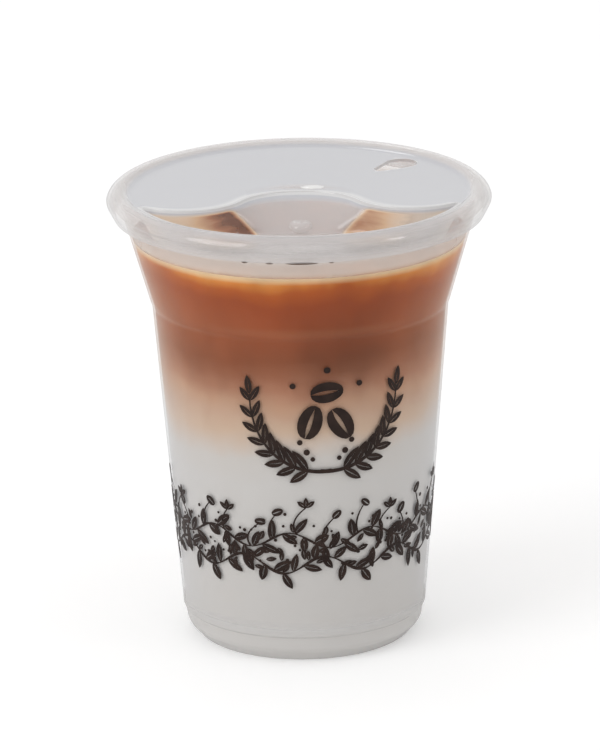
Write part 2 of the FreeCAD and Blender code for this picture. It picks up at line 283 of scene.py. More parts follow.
def blended(nodes, links, share, first, second, kind="MIX"):
    """Two colours mixed by a share."""
    node = new(nodes, "ShaderNodeMix", data_type="RGBA", blend_type=kind)
    put(links, share, node.inputs["Factor"])
    put(links, first, node.inputs["A"])
    put(links, second, node.inputs["B"])
    return node.outputs["Result"]


def ramp(nodes, links, source, stops):
    """A colour ramp over a 0 to 1 value, its stops as (position, colour)."""
    node = nodes.new("ShaderNodeValToRGB")
    band = node.color_ramp
    while len(band.elements) < len(stops):
        band.elements.new(0.5)
    for element, (position, shade) in zip(band.elements, stops):
        element.position = position
        element.color = shade
    links.new(source, node.inputs["Fac"])
    return node.outputs["Color"]


def colour(r, g, b):
    """A colour written as it looks, 0 to 255, in the linear values that Blender's sockets take."""
    parts = (c / 255 for c in (r, g, b))
    return tuple(c / 12.92 if c <= 0.04045 else ((c + 0.055) / 1.055) ** 2.4 for c in parts) + (1,)


def grey(value):
    """A number from 0 to 1 as a ramp's stop holds it."""
    return (value, value, value, 1)


def point(nodes):
    """The place on the object, in metres."""
    return nodes.new("ShaderNodeTexCoord").outputs["Object"]


def parts(nodes, links, vector):
    """A vector's X, Y and Z."""
    split = nodes.new("ShaderNodeSeparateXYZ")
    links.new(vector, split.inputs[0])
    return split.outputs


def distance(nodes, links, place, middle):
    """How far a place is from a middle given in millimetres, in metres."""
    node = new(nodes, "ShaderNodeVectorMath", operation="DISTANCE")
    links.new(place, node.inputs[0])
    node.inputs[1].default_value = [c * MM for c in middle]
    return node.outputs["Value"]


def height(nodes, links, low, high):
    """Where a point lies between two heights in millimetres, from 0 to 1."""
    return spread(nodes, links, parts(nodes, links, point(nodes))["Z"], low * MM, high * MM)


def attribute(nodes, name):
    """What the lid's own points say under a name."""
    return new(nodes, "ShaderNodeAttribute", attribute_name=name).outputs["Fac"]


def cloud_group():
    """Soft uneven patches from Low to High, at a Size in metres; a Streak over 1 flattens them."""
    group = bpy.data.node_groups.new("cloud", "ShaderNodeTree")
    for name, value in (("Size", 0.02), ("Low", 0.0), ("High", 1.0), ("Streak", 1.0)):
        socket = group.interface.new_socket(name, in_out="INPUT", socket_type="NodeSocketFloat")
        socket.default_value = value
    group.interface.new_socket("Value", in_out="OUTPUT", socket_type="NodeSocketFloat")
    nodes, links = group.nodes, group.links
    given, out = nodes.new("NodeGroupInput"), nodes.new("NodeGroupOutput")
    flatter = new(nodes, "ShaderNodeCombineXYZ", X=1.0, Y=1.0)
    stretch = new(nodes, "ShaderNodeVectorMath", operation="MULTIPLY")
    noise = new(nodes, "ShaderNodeTexNoise", Detail=3.0, Roughness=0.5)
    links.new(given.outputs["Streak"], flatter.inputs["Z"])
    links.new(point(nodes), stretch.inputs[0])
    links.new(flatter.outputs[0], stretch.inputs[1])
    links.new(stretch.outputs[0], noise.inputs["Vector"])
    links.new(maths(nodes, links, "DIVIDE", 1.0, given.outputs["Size"]), noise.inputs["Scale"])
    low, high = given.outputs["Low"], given.outputs["High"]
    links.new(spread(nodes, links, noise.outputs["Fac"], 0.3, 0.7, low, high), out.inputs["Value"])
    return group


CLOUD = cloud_group()


def cloud(nodes, size, low, high, streak=1.0):
    """The cloud group placed in a material with its own values."""
    node = nodes.new("ShaderNodeGroup")
    node.node_tree = CLOUD
    for name, value in (("Size", size), ("Low", low), ("High", high), ("Streak", streak)):
        node.inputs[name].default_value = value
    return node.outputs["Value"]


def mottled(nodes, links, size, dark, light):
    """Soft patches between two colours."""
    return ramp(nodes, links, cloud(nodes, size, 0.0, 1.0), [(0.0, dark), (1.0, light)])


def banded(nodes, links, stops):
    """A ramp over the height in millimetres, its stops as (height, colour)."""
    low, high = stops[0][0], stops[-1][0]
    level = height(nodes, links, low, high)
    return ramp(nodes, links, level, [((z - low) / (high - low), shade) for z, shade in stops])


# ---------------------------------------------------------------- clear plastic

def plastic(name, tint, own_veil, edge_veil, gloss, roughness):
    """Clear plastic under a thin milky veil: its own, and a stronger one where it is seen edge on. The tint
    is one colour, or a function that gives one over the surface, and gloss is how much of its shine shows."""
    material, nodes, links = tree(name)
    out = nodes.new("ShaderNodeOutputMaterial")
    milky = new(nodes, "ShaderNodeBsdfPrincipled", IOR=PLASTIC_IOR)
    put(links, tint(nodes, links) if callable(tint) else tint, milky.inputs["Base Color"])
    links.new(cloud(nodes, 0.012, roughness * 0.8, roughness * 1.25), milky.inputs["Roughness"])
    own = maths(nodes, links, "ADD", own_veil(nodes, links), cloud(nodes, 0.02, -0.03, 0.0))
    facing = new(nodes, "ShaderNodeLayerWeight", Blend=0.5).outputs["Facing"]
    edge = maths(nodes, links, "MULTIPLY", maths(nodes, links, "POWER", facing, 2.5), edge_veil)
    veil = maths(nodes, links, "MAXIMUM", edge, own)
    # Light goes through the veil to the drink and the walls behind it.
    looking = nodes.new("ShaderNodeLightPath").outputs["Is Camera Ray"]
    passing = spread(nodes, links, looking, 0, 1, 0.2, 1.0)
    links.new(maths(nodes, links, "MULTIPLY", veil, passing), milky.inputs["Alpha"])
    # Only a surface's outer side shines.
    shine = new(nodes, "ShaderNodeBsdfAnisotropic", Roughness=roughness * 0.6)
    mirror = new(nodes, "ShaderNodeFresnel", IOR=PLASTIC_IOR).outputs[0]
    inside = nodes.new("ShaderNodeNewGeometry").outputs["Backfacing"]
    coat = nodes.new("ShaderNodeMixShader")
    outer = spread(nodes, links, inside, 0, 1, gloss, 0.0)
    links.new(maths(nodes, links, "MULTIPLY", mirror, outer), coat.inputs["Fac"])
    links.new(milky.outputs[0], coat.inputs[1])
    links.new(shine.outputs[0], coat.inputs[2])
    links.new(coat.outputs[0], out.inputs["Surface"])
    return material


def cup_veil(nodes, links):
    """Clear where the drink wets the wall, misted above, frosted at the foot, a little milky in a band over
    the step: a painted highlight.
    """
    return banded(nodes, links, [(z, grey(value)) for z, value in [
        (0, 0.92), (RING_HEIGHT, 0.9), (RING_HEIGHT + 5, 0),
        # The faint band over the step and the flare's foot is a painted highlight.
        (LEDGE_HEIGHT - 0.8, 0), (LEDGE_HEIGHT + 0.4, 0.03),
        (FLARE_HEIGHT + 1.5, 0.1), (FLARE_HEIGHT + 4.0, 0),
        (DRINK_TOP - 0.2, 0.0), (DRINK_TOP + 1.0, 0.42), (SKIRT_FOOT - 0.5, 0.44),
        (SKIRT_FOOT + 1.5, 0.1), (RIM_HEIGHT, 0.1)]])


def cup_tint(nodes, links):
    """The milky veil takes its warmth from the drink behind it."""
    return banded(nodes, links, [(z, colour(*rgb)) for z, rgb in [
        (0, (220, 217, 214)), (FLOOR_TOP, (212, 209, 206)), (RING_HEIGHT, (205, 202, 199)),
        (RING_HEIGHT + 8, (208, 209, 213)), (MILK_TOP - 15, (208, 209, 213)), (MILK_TOP - 9, (207, 205, 206)),
        (MILK_TOP - 4, (208, 196, 186)), (MILK_TOP + 1, (216, 188, 162)), (MILK_TOP + 11, (220, 174, 136)),
        (MILK_TOP + 22, (220, 162, 114)), (DRINK_TOP - 4.3, (216, 154, 104)), (DRINK_TOP, (214, 170, 126)),
        (DRINK_TOP + 2, (240, 227, 215)), (RIM_HEIGHT, (218, 212, 208))]])


def film(nodes, links):
    """How much of a coffee film hangs under the sunken lobes: most beside the scoop, and more on the left."""
    x, y, z = parts(nodes, links, point(nodes))
    aside = maths(nodes, links, "ABSOLUTE", x)
    flat = nodes.new("ShaderNodeCombineXYZ")
    links.new(aside, flat.inputs["X"])
    links.new(y, flat.inputs["Y"])
    away = distance(nodes, links, flat.outputs[0], FILM_MIDDLE)
    # The scoop between the lobes stays free of it.
    scoop = spread(nodes, links, z, SUNK_FLOOR * MM, PANEL_TOP * MM, SCOOP_HALF * SCOOP_NARROWING * MM,
                   SCOOP_HALF * MM)
    beside = maths(nodes, links, "SUBTRACT", aside, scoop)
    amount = attribute(nodes, "film")
    for share in (spread(nodes, links, away, 2 * MM, 18 * MM, 1.0, 0.2, smooth=True),
                  spread(nodes, links, x, -8 * MM, 8 * MM, 1.0, 0.54),
                  spread(nodes, links, beside, -0.6 * MM, 1.8 * MM, smooth=True),
                  spread(nodes, links, y, -29 * MM, -17 * MM, smooth=True),
                  cloud(nodes, 0.014, 0.7, 1.2, 5.0)):
        amount = maths(nodes, links, "MULTIPLY", amount, share, clamp=True)
    return amount


def lid_veil(nodes, links):
    """As the lid's own points give it, uneven where it is thin, with the coffee film over it."""
    given = attribute(nodes, "veil")
    thin = spread(nodes, links, given, 0.05, 0.4, 1.0, 0.0)
    patchy = maths(nodes, links, "MULTIPLY", thin, cloud(nodes, 0.006, -0.15, 0.25, 3.0))
    filmed = spread(nodes, links, film(nodes, links), 0.0, 0.16, 0.0, 0.74)
    return maths(nodes, links, "MAXIMUM", maths(nodes, links, "ADD", given, patchy), filmed)


def lid_tint_with_painted_light(nodes, links):
    """Warmer and lighter on the thin lip, walls and scoop, cooler and darker on the thick flat panel: painted
    light and shade that even out the panel's stronger light from above. Palest on the ridge, a painted
    highlight, and brown under the film.
    """
    # This ramp over the veil is painted light and shade: lighter walls, a darker panel, a highlight at a veil
    # of 1.
    painted_light_bare = ramp(nodes, links, attribute(nodes, "veil"), [
        (0.55, colour(210, 204, 202)), (0.88, colour(191, 191, 196)), (0.955, colour(191, 191, 196)),
        (1.0, colour(214, 213, 213))])
    coffee = film(nodes, links)
    brown = ramp(nodes, links, coffee, [
        (0.1, colour(228, 212, 194)), (0.35, colour(222, 186, 150)), (0.6, colour(180, 126, 94)),
        (0.85, colour(120, 76, 55))])
    return blended(nodes, links, spread(nodes, links, coffee, 0.0, 0.12), painted_light_bare, brown)


def bubble_veil(nodes, links):
    """Thin skins with patches."""
    return cloud(nodes, 0.003, 0.3, 0.6)


def glint_veil(nodes, links):
    """Nearly solid white: a painted highlight."""
    return cloud(nodes, 0.003, 0.75, 0.95)


def nub_veil(nodes, links):
    """Nearly clear, with a little more milk towards its top."""
    return banded(nodes, links, [(SUNK_FLOOR, grey(0.2)), (SUNK_FLOOR + 3, grey(0.4))])


# ---------------------------------------------------------------- drink and ink

def covered(name, tint, roughness, ior, specular=0.5):
    """A surface that hides what is behind it. The tint is a function that gives a colour over the surface,
    and the roughness one value or the lowest and highest of its patches."""
    material, nodes, links = tree(name)
    out = nodes.new("ShaderNodeOutputMaterial")
    body = new(nodes, "ShaderNodeBsdfPrincipled", IOR=ior, Specular_IOR_Level=specular)
    links.new(tint(nodes, links), body.inputs["Base Color"])
    put(links, cloud(nodes, 0.006, *roughness) if isinstance(roughness, tuple) else roughness,
        body.inputs["Roughness"])
    links.new(body.outputs[0], out.inputs["Surface"])
    return material


def drink_tint(nodes, links):
    """Milky coffee over milk: the colour follows the height, and the change between them wanders."""
    low, high = MILK_TOP - 25, DRINK_TOP + 2.7
    stops = [
        (low, (203, 200, 197)),
        (MILK_TOP - 17, (202, 197, 192)),
        (MILK_TOP - 13, (203, 187, 174)),
        (MILK_TOP - 9.5, (200, 174, 152)),
        (MILK_TOP - 5.5, (190, 158, 136)),
        (MILK_TOP - 1.5, (181, 142, 117)),
        (MILK_TOP + 2.5, (161, 113, 89)),
        (MILK_TOP + 6.5, (143, 91, 67)),
        (MILK_TOP + 10.5, (132, 76, 51)),
        (MILK_TOP + 18, (144, 77, 49)),
        (DRINK_TOP - 7.3, (144, 69, 38)),
        (DRINK_TOP - 3.8, (166, 84, 38)),
        (DRINK_TOP - 1.5, (197, 122, 58)),
        (DRINK_TOP + 0.3, (214, 160, 100)),
    ]
    wander = cloud(nodes, 0.018, -0.034, 0.034, 0.8)
    level = maths(nodes, links, "ADD", height(nodes, links, low, high), wander)
    shade = ramp(nodes, links, level, [((z - low) / (high - low), colour(*rgb)) for z, rgb in stops])
    # The colour turns pale along the top edge.
    pale_edge = maths(nodes, links, "MULTIPLY", height(nodes, links, DRINK_TOP - 1.3, DRINK_TOP + 0.2), 0.753)
    shade = blended(nodes, links, pale_edge, shade, colour(214, 190, 154))
    # A darker patch hangs in front, a little to the right, with streaks in it: painted shade for the side
    # away from the key lamp, over milk that stays plain.
    away = distance(nodes, links, point(nodes), SHADE_PATCH_MIDDLE)
    patch_depth = spread(nodes, links, away, 0, SHADE_PATCH_REACH * MM, 0.76, 1.09, smooth=True)
    shade_patch = maths(nodes, links, "MULTIPLY", patch_depth, cloud(nodes, 0.011, 0.9, 1.1, 0.55))
    shade_patch = blended(nodes, links, spread(nodes, links, level, 0.2, 0.45), grey(1.0), shade_patch)
    shade = blended(nodes, links, 1.0, shade, shade_patch, "MULTIPLY")
    # The top takes the coffee's brown, darkened as painted shade for the shadow under the lid, and only its
    # edge against the wall is bright.
    normal = nodes.new("ShaderNodeTexCoord").outputs["Normal"]
    upward = spread(nodes, links, parts(nodes, links, normal)["Z"], 0.6, 0.95)
    top = mottled(nodes, links, 0.012, colour(112, 56, 28), colour(172, 100, 54))
    return blended(nodes, links, upward, shade, top)


def shadow_drop_tint(nodes, links):
    """Dark brown, a little uneven: a painted shadow."""
    return mottled(nodes, links, 0.003, colour(74, 58, 50), colour(120, 104, 94))


def ink_tint(nodes, links):
    """Brown-black, a little uneven."""
    return mottled(nodes, links, 0.004, colour(34, 22, 18), colour(50, 36, 30))


# ---------------------------------------------------------------- the cup

def make_cup(material):
    """Foot, heel, base ring, wall, step, flare and rolled rim, hollow down to its floor."""
    neck = ROLL_MIDDLE - ROLL_TUCK
    roll_foot, roll_inner, roll_round = ROLL_HEIGHT - ROLL, RIM_RADIUS - 2 * ROLL, ROLL * 0.98
    section = [
        (0, FLOOR_UNDER, 0),
        (FOOT_INNER - FOOT_SLOPE, FLOOR_UNDER, 0.6),
        (FOOT_INNER, 0, 0.4),
        (FOOT_OUTER, 0, 0.8),
        (HEEL_RADIUS, HEEL_HEIGHT, 3.0),
        (RING_RADIUS, RING_HEIGHT, 0.2),
        (WALL_FOOT_RADIUS, WALL_FOOT_HEIGHT, 0.35),
        (LEDGE_RADIUS, LEDGE_HEIGHT, 3.0),
        (FLARE_RADIUS, FLARE_HEIGHT, 3.0),
        (neck, roll_foot, 0.15),
        (RIM_RADIUS, roll_foot, roll_round),
        (RIM_RADIUS, RIM_HEIGHT, roll_round),
        (roll_inner, RIM_HEIGHT, roll_round),
        (roll_inner, ROLL_HEIGHT - 0.6, 0.3),
        (neck - WALL, roll_foot, 0.2),
        (FLARE_RADIUS - WALL, FLARE_HEIGHT, 3.0),
        (LEDGE_RADIUS - WALL, LEDGE_HEIGHT, 3.0),
        (WALL_FOOT_RADIUS - WALL, WALL_FOOT_HEIGHT, 0.3),
        (RING_RADIUS - WALL, RING_HEIGHT, 0.3),
        (HEEL_RADIUS - WALL, FLOOR_TOP, 2.6),
        (0, FLOOR_TOP, 0),
    ]
    cup = piece("cup_shell", turned(section), material)
    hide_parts("cup")


# ---------------------------------------------------------------- the drink

def make_drink(material):
    """Milk and coffee in one body that reaches just into the wall, its edge drawn up it."""
    into = DRINK_OVERLAP - WALL
    edge = FLARE_RADIUS + into + FLARE_SLOPE * (DRINK_TOP - FLARE_HEIGHT)
    section = [
        (0, FLOOR_TOP - DRINK_OVERLAP, 0),
        (HEEL_RADIUS + into, FLOOR_TOP - DRINK_OVERLAP, 2.6),
        (RING_RADIUS + into, RING_HEIGHT, 0.3),
        (WALL_FOOT_RADIUS + into, WALL_FOOT_HEIGHT, 0.3),
        (LEDGE_RADIUS + into, LEDGE_HEIGHT, 3.0),
        (FLARE_RADIUS + into, FLARE_HEIGHT, 3.0),
        (edge + FLARE_SLOPE * DRINK_CREEP, DRINK_TOP + DRINK_CREEP, 0.05),
        (edge - 0.35, DRINK_TOP + DRINK_CREEP * 0.75, 0.3),
        (edge - 1.6, DRINK_TOP, 1.2),
        (edge - 8, DRINK_TOP, 0),
        (edge - 20, DRINK_TOP, 0),
        (0, DRINK_TOP, 0),
    ]
    drink = piece("drink", turned(section), material)
    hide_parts("milk", "coffee")


def make_bubbles(material):
    """Small bubbles along the drink's edge, in loose groups."""
    rng = random.Random(11)
    edge = FLARE_RADIUS - WALL + FLARE_SLOPE * (DRINK_TOP - FLARE_HEIGHT)
    bm = bmesh.new()
    for _ in range(13):
        group = rng.uniform(0, TAU)
        for _ in range(rng.randint(2, 8)):
            size = rng.uniform(0.25, 0.7)
            angle = group + rng.uniform(-0.09, 0.09)
            reach = edge - size - rng.uniform(0.1, 0.7)
            place = (reach * math.cos(angle), reach * math.sin(angle), DRINK_TOP + size * 0.45)
            bmesh.ops.create_icosphere(bm, subdivisions=2, radius=size, matrix=Matrix.Translation(place))
    piece("edge_bubbles", bm, material)


def make_shadow_drops(material):
    """A flat dark drop and three small ones under the front of the lid's skirt: a painted shadow line where
    the skirt meets the cup.
    """
    bm = bmesh.new()
    inner = LID_RADIUS - SKIRT_TUCK
    for x, long, tall in ((0.5, 4.2, 0.35), (-14.5, 0.8, 0.3), (-7.9, 1.0, 0.28), (8.2, 0.6, 0.25)):
        drop = bmesh.ops.create_uvsphere(bm, u_segments=24, v_segments=12, radius=1)["verts"]
        for vert in drop:
            along, out, up = vert.co
            radius = inner - 0.35 + out * 0.4
            turn = x / inner - math.pi / 2 + along * long / radius
            vert.co = (radius * math.cos(turn), radius * math.sin(turn), SKIRT_FOOT - 0.1 + up * tall)
    bmesh.ops.recalc_face_normals(bm, faces=bm.faces)
    piece("skirt_shadow_drops", bm, material)


# ---------------------------------------------------------------- the lid

def arc(x, y, radius, start, end, count):
    """Points along an arc, without its last."""
    angles = (mix(start, end, i / count) for i in range(count))
    return [(x + radius * math.cos(angle), y + radius * math.sin(angle)) for angle in angles]


def s_outline(grow):
    """The sunken front's outline from above, from the bay's left end by way of its back; grow widens it."""
    edge, bay, lobe = SUNK_RADIUS + grow, BAY_RADIUS + grow, LOBE_RADIUS - grow
    lean = math.atan2(LOBE_MIDDLE - BAY_MIDDLE, LOBE_SIDE)
    reach = math.hypot(LOBE_SIDE, LOBE_MIDDLE)
    opening = math.acos((reach**2 + edge**2 - lobe**2) / (2 * reach * edge))
    corner = math.atan2(LOBE_MIDDLE, LOBE_SIDE) - opening
    turn = math.atan2(edge * math.sin(corner) - LOBE_MIDDLE, edge * math.cos(corner) - LOBE_SIDE)
    bay_count, lobe_count, front_count = COUNTS
    points = arc(0, BAY_MIDDLE, bay, math.pi - lean, lean, bay_count)
    points += arc(LOBE_SIDE, LOBE_MIDDLE, lobe, -math.pi + lean, turn, lobe_count)
    points += arc(0, 0, edge, corner, -math.pi - corner, front_count)
    points += arc(-LOBE_SIDE, LOBE_MIDDLE, lobe, -math.pi - turn, -lean, lobe_count)
    # Three rounds of easing take the kinks out of the corners.
    count = len(points)
    for _ in range(3):
        points = [tuple(0.25 * points[i - 1][k] + 0.5 * points[i][k] + 0.25 * points[(i + 1) % count][k]
                        for k in (0, 1)) for i in range(count)]
    return points


def ridge_share(x, y):
    """How much of the ridge there is room for between a point and the panel's round edge."""
    return min((PANEL_RADIUS - math.hypot(x, y)) * 0.95 / RIDGE_WIDTH, 1)


def outset(outline, grow):
    """The outline moved outwards, by less where the panel's round edge is near."""
    count = len(outline)
    moved = []
    for i, (x, y) in enumerate(outline):
        before, after = outline[i - 1], outline[(i + 1) % count]
        way = Vector((before[1] - after[1], after[0] - before[0])).normalized()
        reach = grow * ridge_share(x, y)
        moved.append((x + way.x * reach, y + way.y * reach))
    return moved


def rounded_line(corners, steps=5):
    """Points along a line of (a, z, rounding) corners, each eased by a curve that starts at its rounding."""
    line = []
    for i, (a, z, rounding) in enumerate(corners):
        here = Vector((a, z))
        if not rounding:
            line.append(here)
            continue
        before = here + (Vector(corners[i - 1][:2]) - here).normalized() * rounding
        after = here + (Vector(corners[i + 1][:2]) - here).normalized() * rounding
        for k in range(steps + 1):
            t = k / steps
            line.append(before * (1 - t)**2 + here * 2 * t * (1 - t) + after * t**2)
    return line


def panel_height(x, y):
    """Top of the panel, which is dished towards its middle."""
    return PANEL_TOP - PANEL_DISH * (1 - math.hypot(x, y) / PANEL_RADIUS)


def groove(x, y):
    """How far the clearer groove behind the bay reaches a point: wholly in its middle, and not in front."""
    return math.exp(-(x / GROOVE_HALF)**2) * (y > 0)


def hollow_veil(x, down, scoop):
    """How milky the sunken front's wall is, a share of the way down from the point of its edge at x."""
    steep = mix(VEIL_STEEP, VEIL_HORN, smooth_step(HORN_START, HORN_END, abs(x)))
    steep = mix(steep, VEIL_FLOOR, smooth_step(0.9, 1.0, down))
    return mix(steep, VEIL_SCOOP, scoop**2)


def hollow_rings(outline):
    """Rings from the sunken floor up its wall and over the ridge."""
    scoops = [1 - smooth_step(SCOOP_HALF - SCOOP_SOFT, SCOOP_HALF + SCOOP_SOFT, abs(x))
              if y > SCOOP_FRONT - 8 else 0 for x, y in outline]
    section = rounded_line([
        (-SUNK_DRAFT - 2.2, SUNK_FLOOR, 0),
        (-SUNK_DRAFT, SUNK_FLOOR, 1.5),
        *((-SUNK_DRAFT * down, mix(PANEL_TOP, SUNK_FLOOR, down), 0)
          for down in (0.75, 0.6, 0.45, 0.3, 0.2, 0.12, 0.06)),
        (0, PANEL_TOP + RIDGE_HEIGHT, 0.35),
        (0.7, PANEL_TOP + RIDGE_HEIGHT, 0.3),
        (1.2, PANEL_TOP, 0.2),
        (RIDGE_WIDTH, PANEL_TOP, 0),
    ])
    rings = []
    for grow, z in section:
        down = max((PANEL_TOP - z) / SUNK_DEPTH, 0)
        points, veils = [], []
        ring = s_outline(grow) if grow < 0 else outset(outline, grow)
        for (x, y), (top_x, top_y), scoop in zip(ring, outline, scoops):
            # Where the scoop is, the wall slopes forwards, and its foot runs on a little over the floor.
            sloped = scoop * smooth_step(0, 0.12, down)
            front = mix(top_y, SCOOP_FRONT, down**SCOOP_POWER) - max(-SUNK_DRAFT - grow, 0) * SCOOP_TOE
            x = mix(x, top_x * mix(1, SCOOP_NARROWING, down), sloped)
            y = mix(y, front, sloped)
            sag = (PANEL_TOP - panel_height(top_x, top_y)) * (1 - down)
            rise = max(z - PANEL_TOP, 0) * ridge_share(top_x, top_y)
            points.append(Vector((x, y, min(z, PANEL_TOP) + rise - sag)))
            top_veil = mix(VEIL_PANEL, VEIL_GROOVE, groove(top_x, y) * smooth_step(1.1, 1.4, grow))
            # The ridge and the top of the wall under it take the palest veil: a painted highlight on the
            # ridge, and painted light lifting the shade on the wall.
            if z > PANEL_TOP or grow <= 0:
                top_veil = VEIL_PAINTED_LIGHT
            veils.append(mix(top_veil, hollow_veil(top_x, down, scoop), smooth_step(0.08, 0.17, down)))
        rings.append((points, veils, smooth_step(0.1, 0.2, down)))
    return rings


def edge_angles(outline):
    """For each point of the sunken front's edge, the angle of its own point on the panel's round edge."""
    bay_count, lobe_count, front_count = COUNTS
    back = bay_count + 2 * lobe_count
    left = math.atan2(*reversed(outline[bay_count + lobe_count + front_count])) % TAU
    angles = []
    for i, (x, y) in enumerate(outline):
        step = (i + lobe_count) % len(outline)
        angles.append(mix(left, math.pi - left, step / back) if step < back else math.atan2(y, x))
    return angles


def panel_rings(outline, angles):
    """Rings from the ridge out to the panel's round edge."""
    brow = outset(outline, RIDGE_WIDTH)
    rings = []
    for k in range(1, PANEL_RINGS + 1):
        points = []
        for (x, y), angle in zip(brow, angles):
            x = mix(x, PANEL_RADIUS * math.cos(angle), k / PANEL_RINGS)
            y = mix(y, PANEL_RADIUS * math.sin(angle), k / PANEL_RINGS)
            points.append(Vector((x, y, panel_height(x, y))))
        veils = [mix(VEIL_PANEL, VEIL_GROOVE, 0.8 * groove(x, y) * (k == 1)) for x, y, _ in points]
        rings.append((points, veils, 0))
    return rings


def lip_rings(angles):
    """Rings over the lip and down the skirt."""
    section = rounded_line([
        (PANEL_RADIUS, PANEL_TOP, 0),
        (ROLL_MIDDLE - 1.0, LIP_TOP, 0.7),
        (ROLL_MIDDLE + 1.1, LIP_TOP, 0.9),
        (LID_RADIUS - LID_WALL, RIM_HEIGHT, 0.5),
        (LID_RADIUS, ROLL_HEIGHT, 0.8),
        (LID_RADIUS - SKIRT_TUCK, SKIRT_FOOT, 0),
    ])
    rings = []
    for radius, z in section[1:]:
        points = [Vector((radius * math.cos(angle), radius * math.sin(angle), z)) for angle in angles]
        veil = mix(VEIL_LIP, VEIL_SKIRT, smooth_step(ROLL_MIDDLE, LID_RADIUS, radius))
        rings.append((points, [veil] * len(points), 0))
    return rings


def lid_top():
    """The lid's upper side, from the sunken floor out to the foot of the skirt."""
    outline = s_outline(0)
    angles = edge_angles(outline)
    bm = skin(hollow_rings(outline) + panel_rings(outline, angles) + lip_rings(angles))
    foot = [edge for edge in bm.edges if edge.is_boundary
            and all(v.co.z < SUNK_FLOOR + 0.01 and v.co.xy.length < SUNK_RADIUS for v in edge.verts)]
    bmesh.ops.triangle_fill(bm, use_beauty=True, use_dissolve=False, edges=foot)
    bmesh.ops.recalc_face_normals(bm, faces=bm.faces)
    top = max(bm.faces, key=lambda face: face.calc_center_median().z)
    if top.normal.z < 0:
        bmesh.ops.reverse_faces(bm, faces=bm.faces)
    return bm


def drop_cutter():
    """The sip hole's drop shape, standing through the panel: a round end drawn out to a narrower one."""
    bm = bmesh.new()
    bmesh.ops.create_circle(bm, cap_ends=True, segments=64, radius=1)
    lean = (SIP_WIDE - SIP_NARROW) / SIP_LENGTH
    for vert in bm.verts:
        outer = vert.co.x > -lean
        size, reach = (SIP_WIDE, SIP_REACH) if outer else (SIP_NARROW, SIP_REACH - SIP_LENGTH)
        vert.co = (reach + vert.co.x * size, vert.co.y * size, PANEL_TOP - 4)
    solid = bmesh.ops.extrude_face_region(bm, geom=bm.faces[:])
    top = [g for g in solid["geom"] if isinstance(g, bmesh.types.BMVert)]
    bmesh.ops.translate(bm, vec=(0, 0, 8), verts=top)
    bmesh.ops.recalc_face_normals(bm, faces=bm.faces)
    bmesh.ops.rotate(bm, cent=(0, 0, 0), matrix=Matrix.Rotation(SIP_ANGLE, 3, "Z"), verts=bm.verts)
    return bm


def clean_sip_hole(mesh):
    """Gives the panel's own veil to what is near the sip hole, and the ridge's palest veil and tint to the
    hole's edge: painted light that lifts the shade on the hole's wall.
    """
    hole = Matrix.Rotation(SIP_ANGLE, 3, "Z") @ Vector((SIP_REACH - SIP_LENGTH / 2, 0, PANEL_TOP)) * MM
    near = (SIP_LENGTH / 2 + SIP_WIDE + 1) * MM
    milky, filmed = mesh.attributes["veil"].data, mesh.attributes["film"].data
    for vert in mesh.vertices:
        if (vert.co - hole).length < near:
            milky[vert.index].value = VEIL_PANEL
            filmed[vert.index].value = 0
    for face in mesh.polygons:
        if (face.center - hole).length < near and abs(face.normal.z) < 0.5:
            for index in face.vertices:
                milky[index].value = VEIL_PAINTED_LIGHT


def make_lid(material):
    """The press-on lid: panel with its sunken front and scoop, sip hole, lip and skirt."""
    lid = piece("lid_shell", lid_top(), material)
    cutter = piece("sip_cutter", drop_cutter(), material)
    finished(lid, ("SOLIDIFY", {"thickness": LID_WALL * MM, "offset": -1.0}),
             ("BOOLEAN", {"object": cutter, "operation": "DIFFERENCE", "solver": "EXACT"}))
    bpy.data.objects.remove(cutter)
    clean_sip_hole(lid.data)
    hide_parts("lid")


def make_glint_mark(material):
    """A low glossy bump on the panel just behind the bay's ridge, nearly solid white: a painted highlight."""
    x, y = 3.6, 4.6
    bm = bmesh.new()
    bmesh.ops.create_uvsphere(bm, u_segments=40, v_segments=20, radius=1)
    bmesh.ops.scale(bm, vec=(3.1, 1.7, 0.45), verts=bm.verts)
    bmesh.ops.translate(bm, vec=(x, y, panel_height(x, y)), verts=bm.verts)
    piece("panel_glint", bm, material)


def make_nub(material):
    """The round nub at the foot of the scoop, in clearer plastic."""
    z = SUNK_FLOOR
    bm = turned([(0, z, 0), (3.3, z, 0), (3.1, z + 2.2, 1.6), (1.6, z + 2.5, 0.8), (0, z + 2.3, 0)], 64)
    bmesh.ops.translate(bm, vec=(0.3, SCOOP_FRONT + 2.8, 0), verts=bm.verts)
    piece("lid_nub", bm, material)


# ---------------------------------------------------------------- drawing the print

def bezier(*corners):
    """A path through the plane by its four control points, as a function of 0 to 1."""
    a, b, c, d = (Vector(p) for p in corners)
    return lambda t: a * (1 - t)**3 + b * 3 * t * (1 - t)**2 + c * 3 * t**2 * (1 - t) + d * t**3


def stroke(bm, path, width, steps=12):
    """A pen stroke along a path, its width a function of 0 to 1."""
    made = bmesh.ops.create_grid(bm, x_segments=steps, y_segments=1, size=1)["verts"]
    for vert in made:
        t = (vert.co.x + 1) / 2
        along = path(min(t + 0.01, 1)) - path(max(t - 0.01, 0))
        across = Vector((-along.y, along.x)).normalized()
        spot = path(t) + across * vert.co.y * width(t) / 2
        vert.co = (spot.x, spot.y, 0)


def leaf(bm, x, y, angle, length, width, bend=0.0):
    """A leaf from its stem outwards, with a fine gap for its middle rib."""
    turn, base = Matrix.Rotation(angle, 2), Vector((x, y))
    for side in (-1, 1):
        corners = [(0, 0), (length * 0.3, side * width * 0.42 + bend),
                   (length * 0.7, side * width * 0.3 + bend), (length, bend * 1.6)]
        path = bezier(*(base + turn @ Vector(c) for c in corners))
        stroke(bm, path, lambda t: 0.06 + width * 0.42 * math.sin(math.pi * t)**0.8, 8)


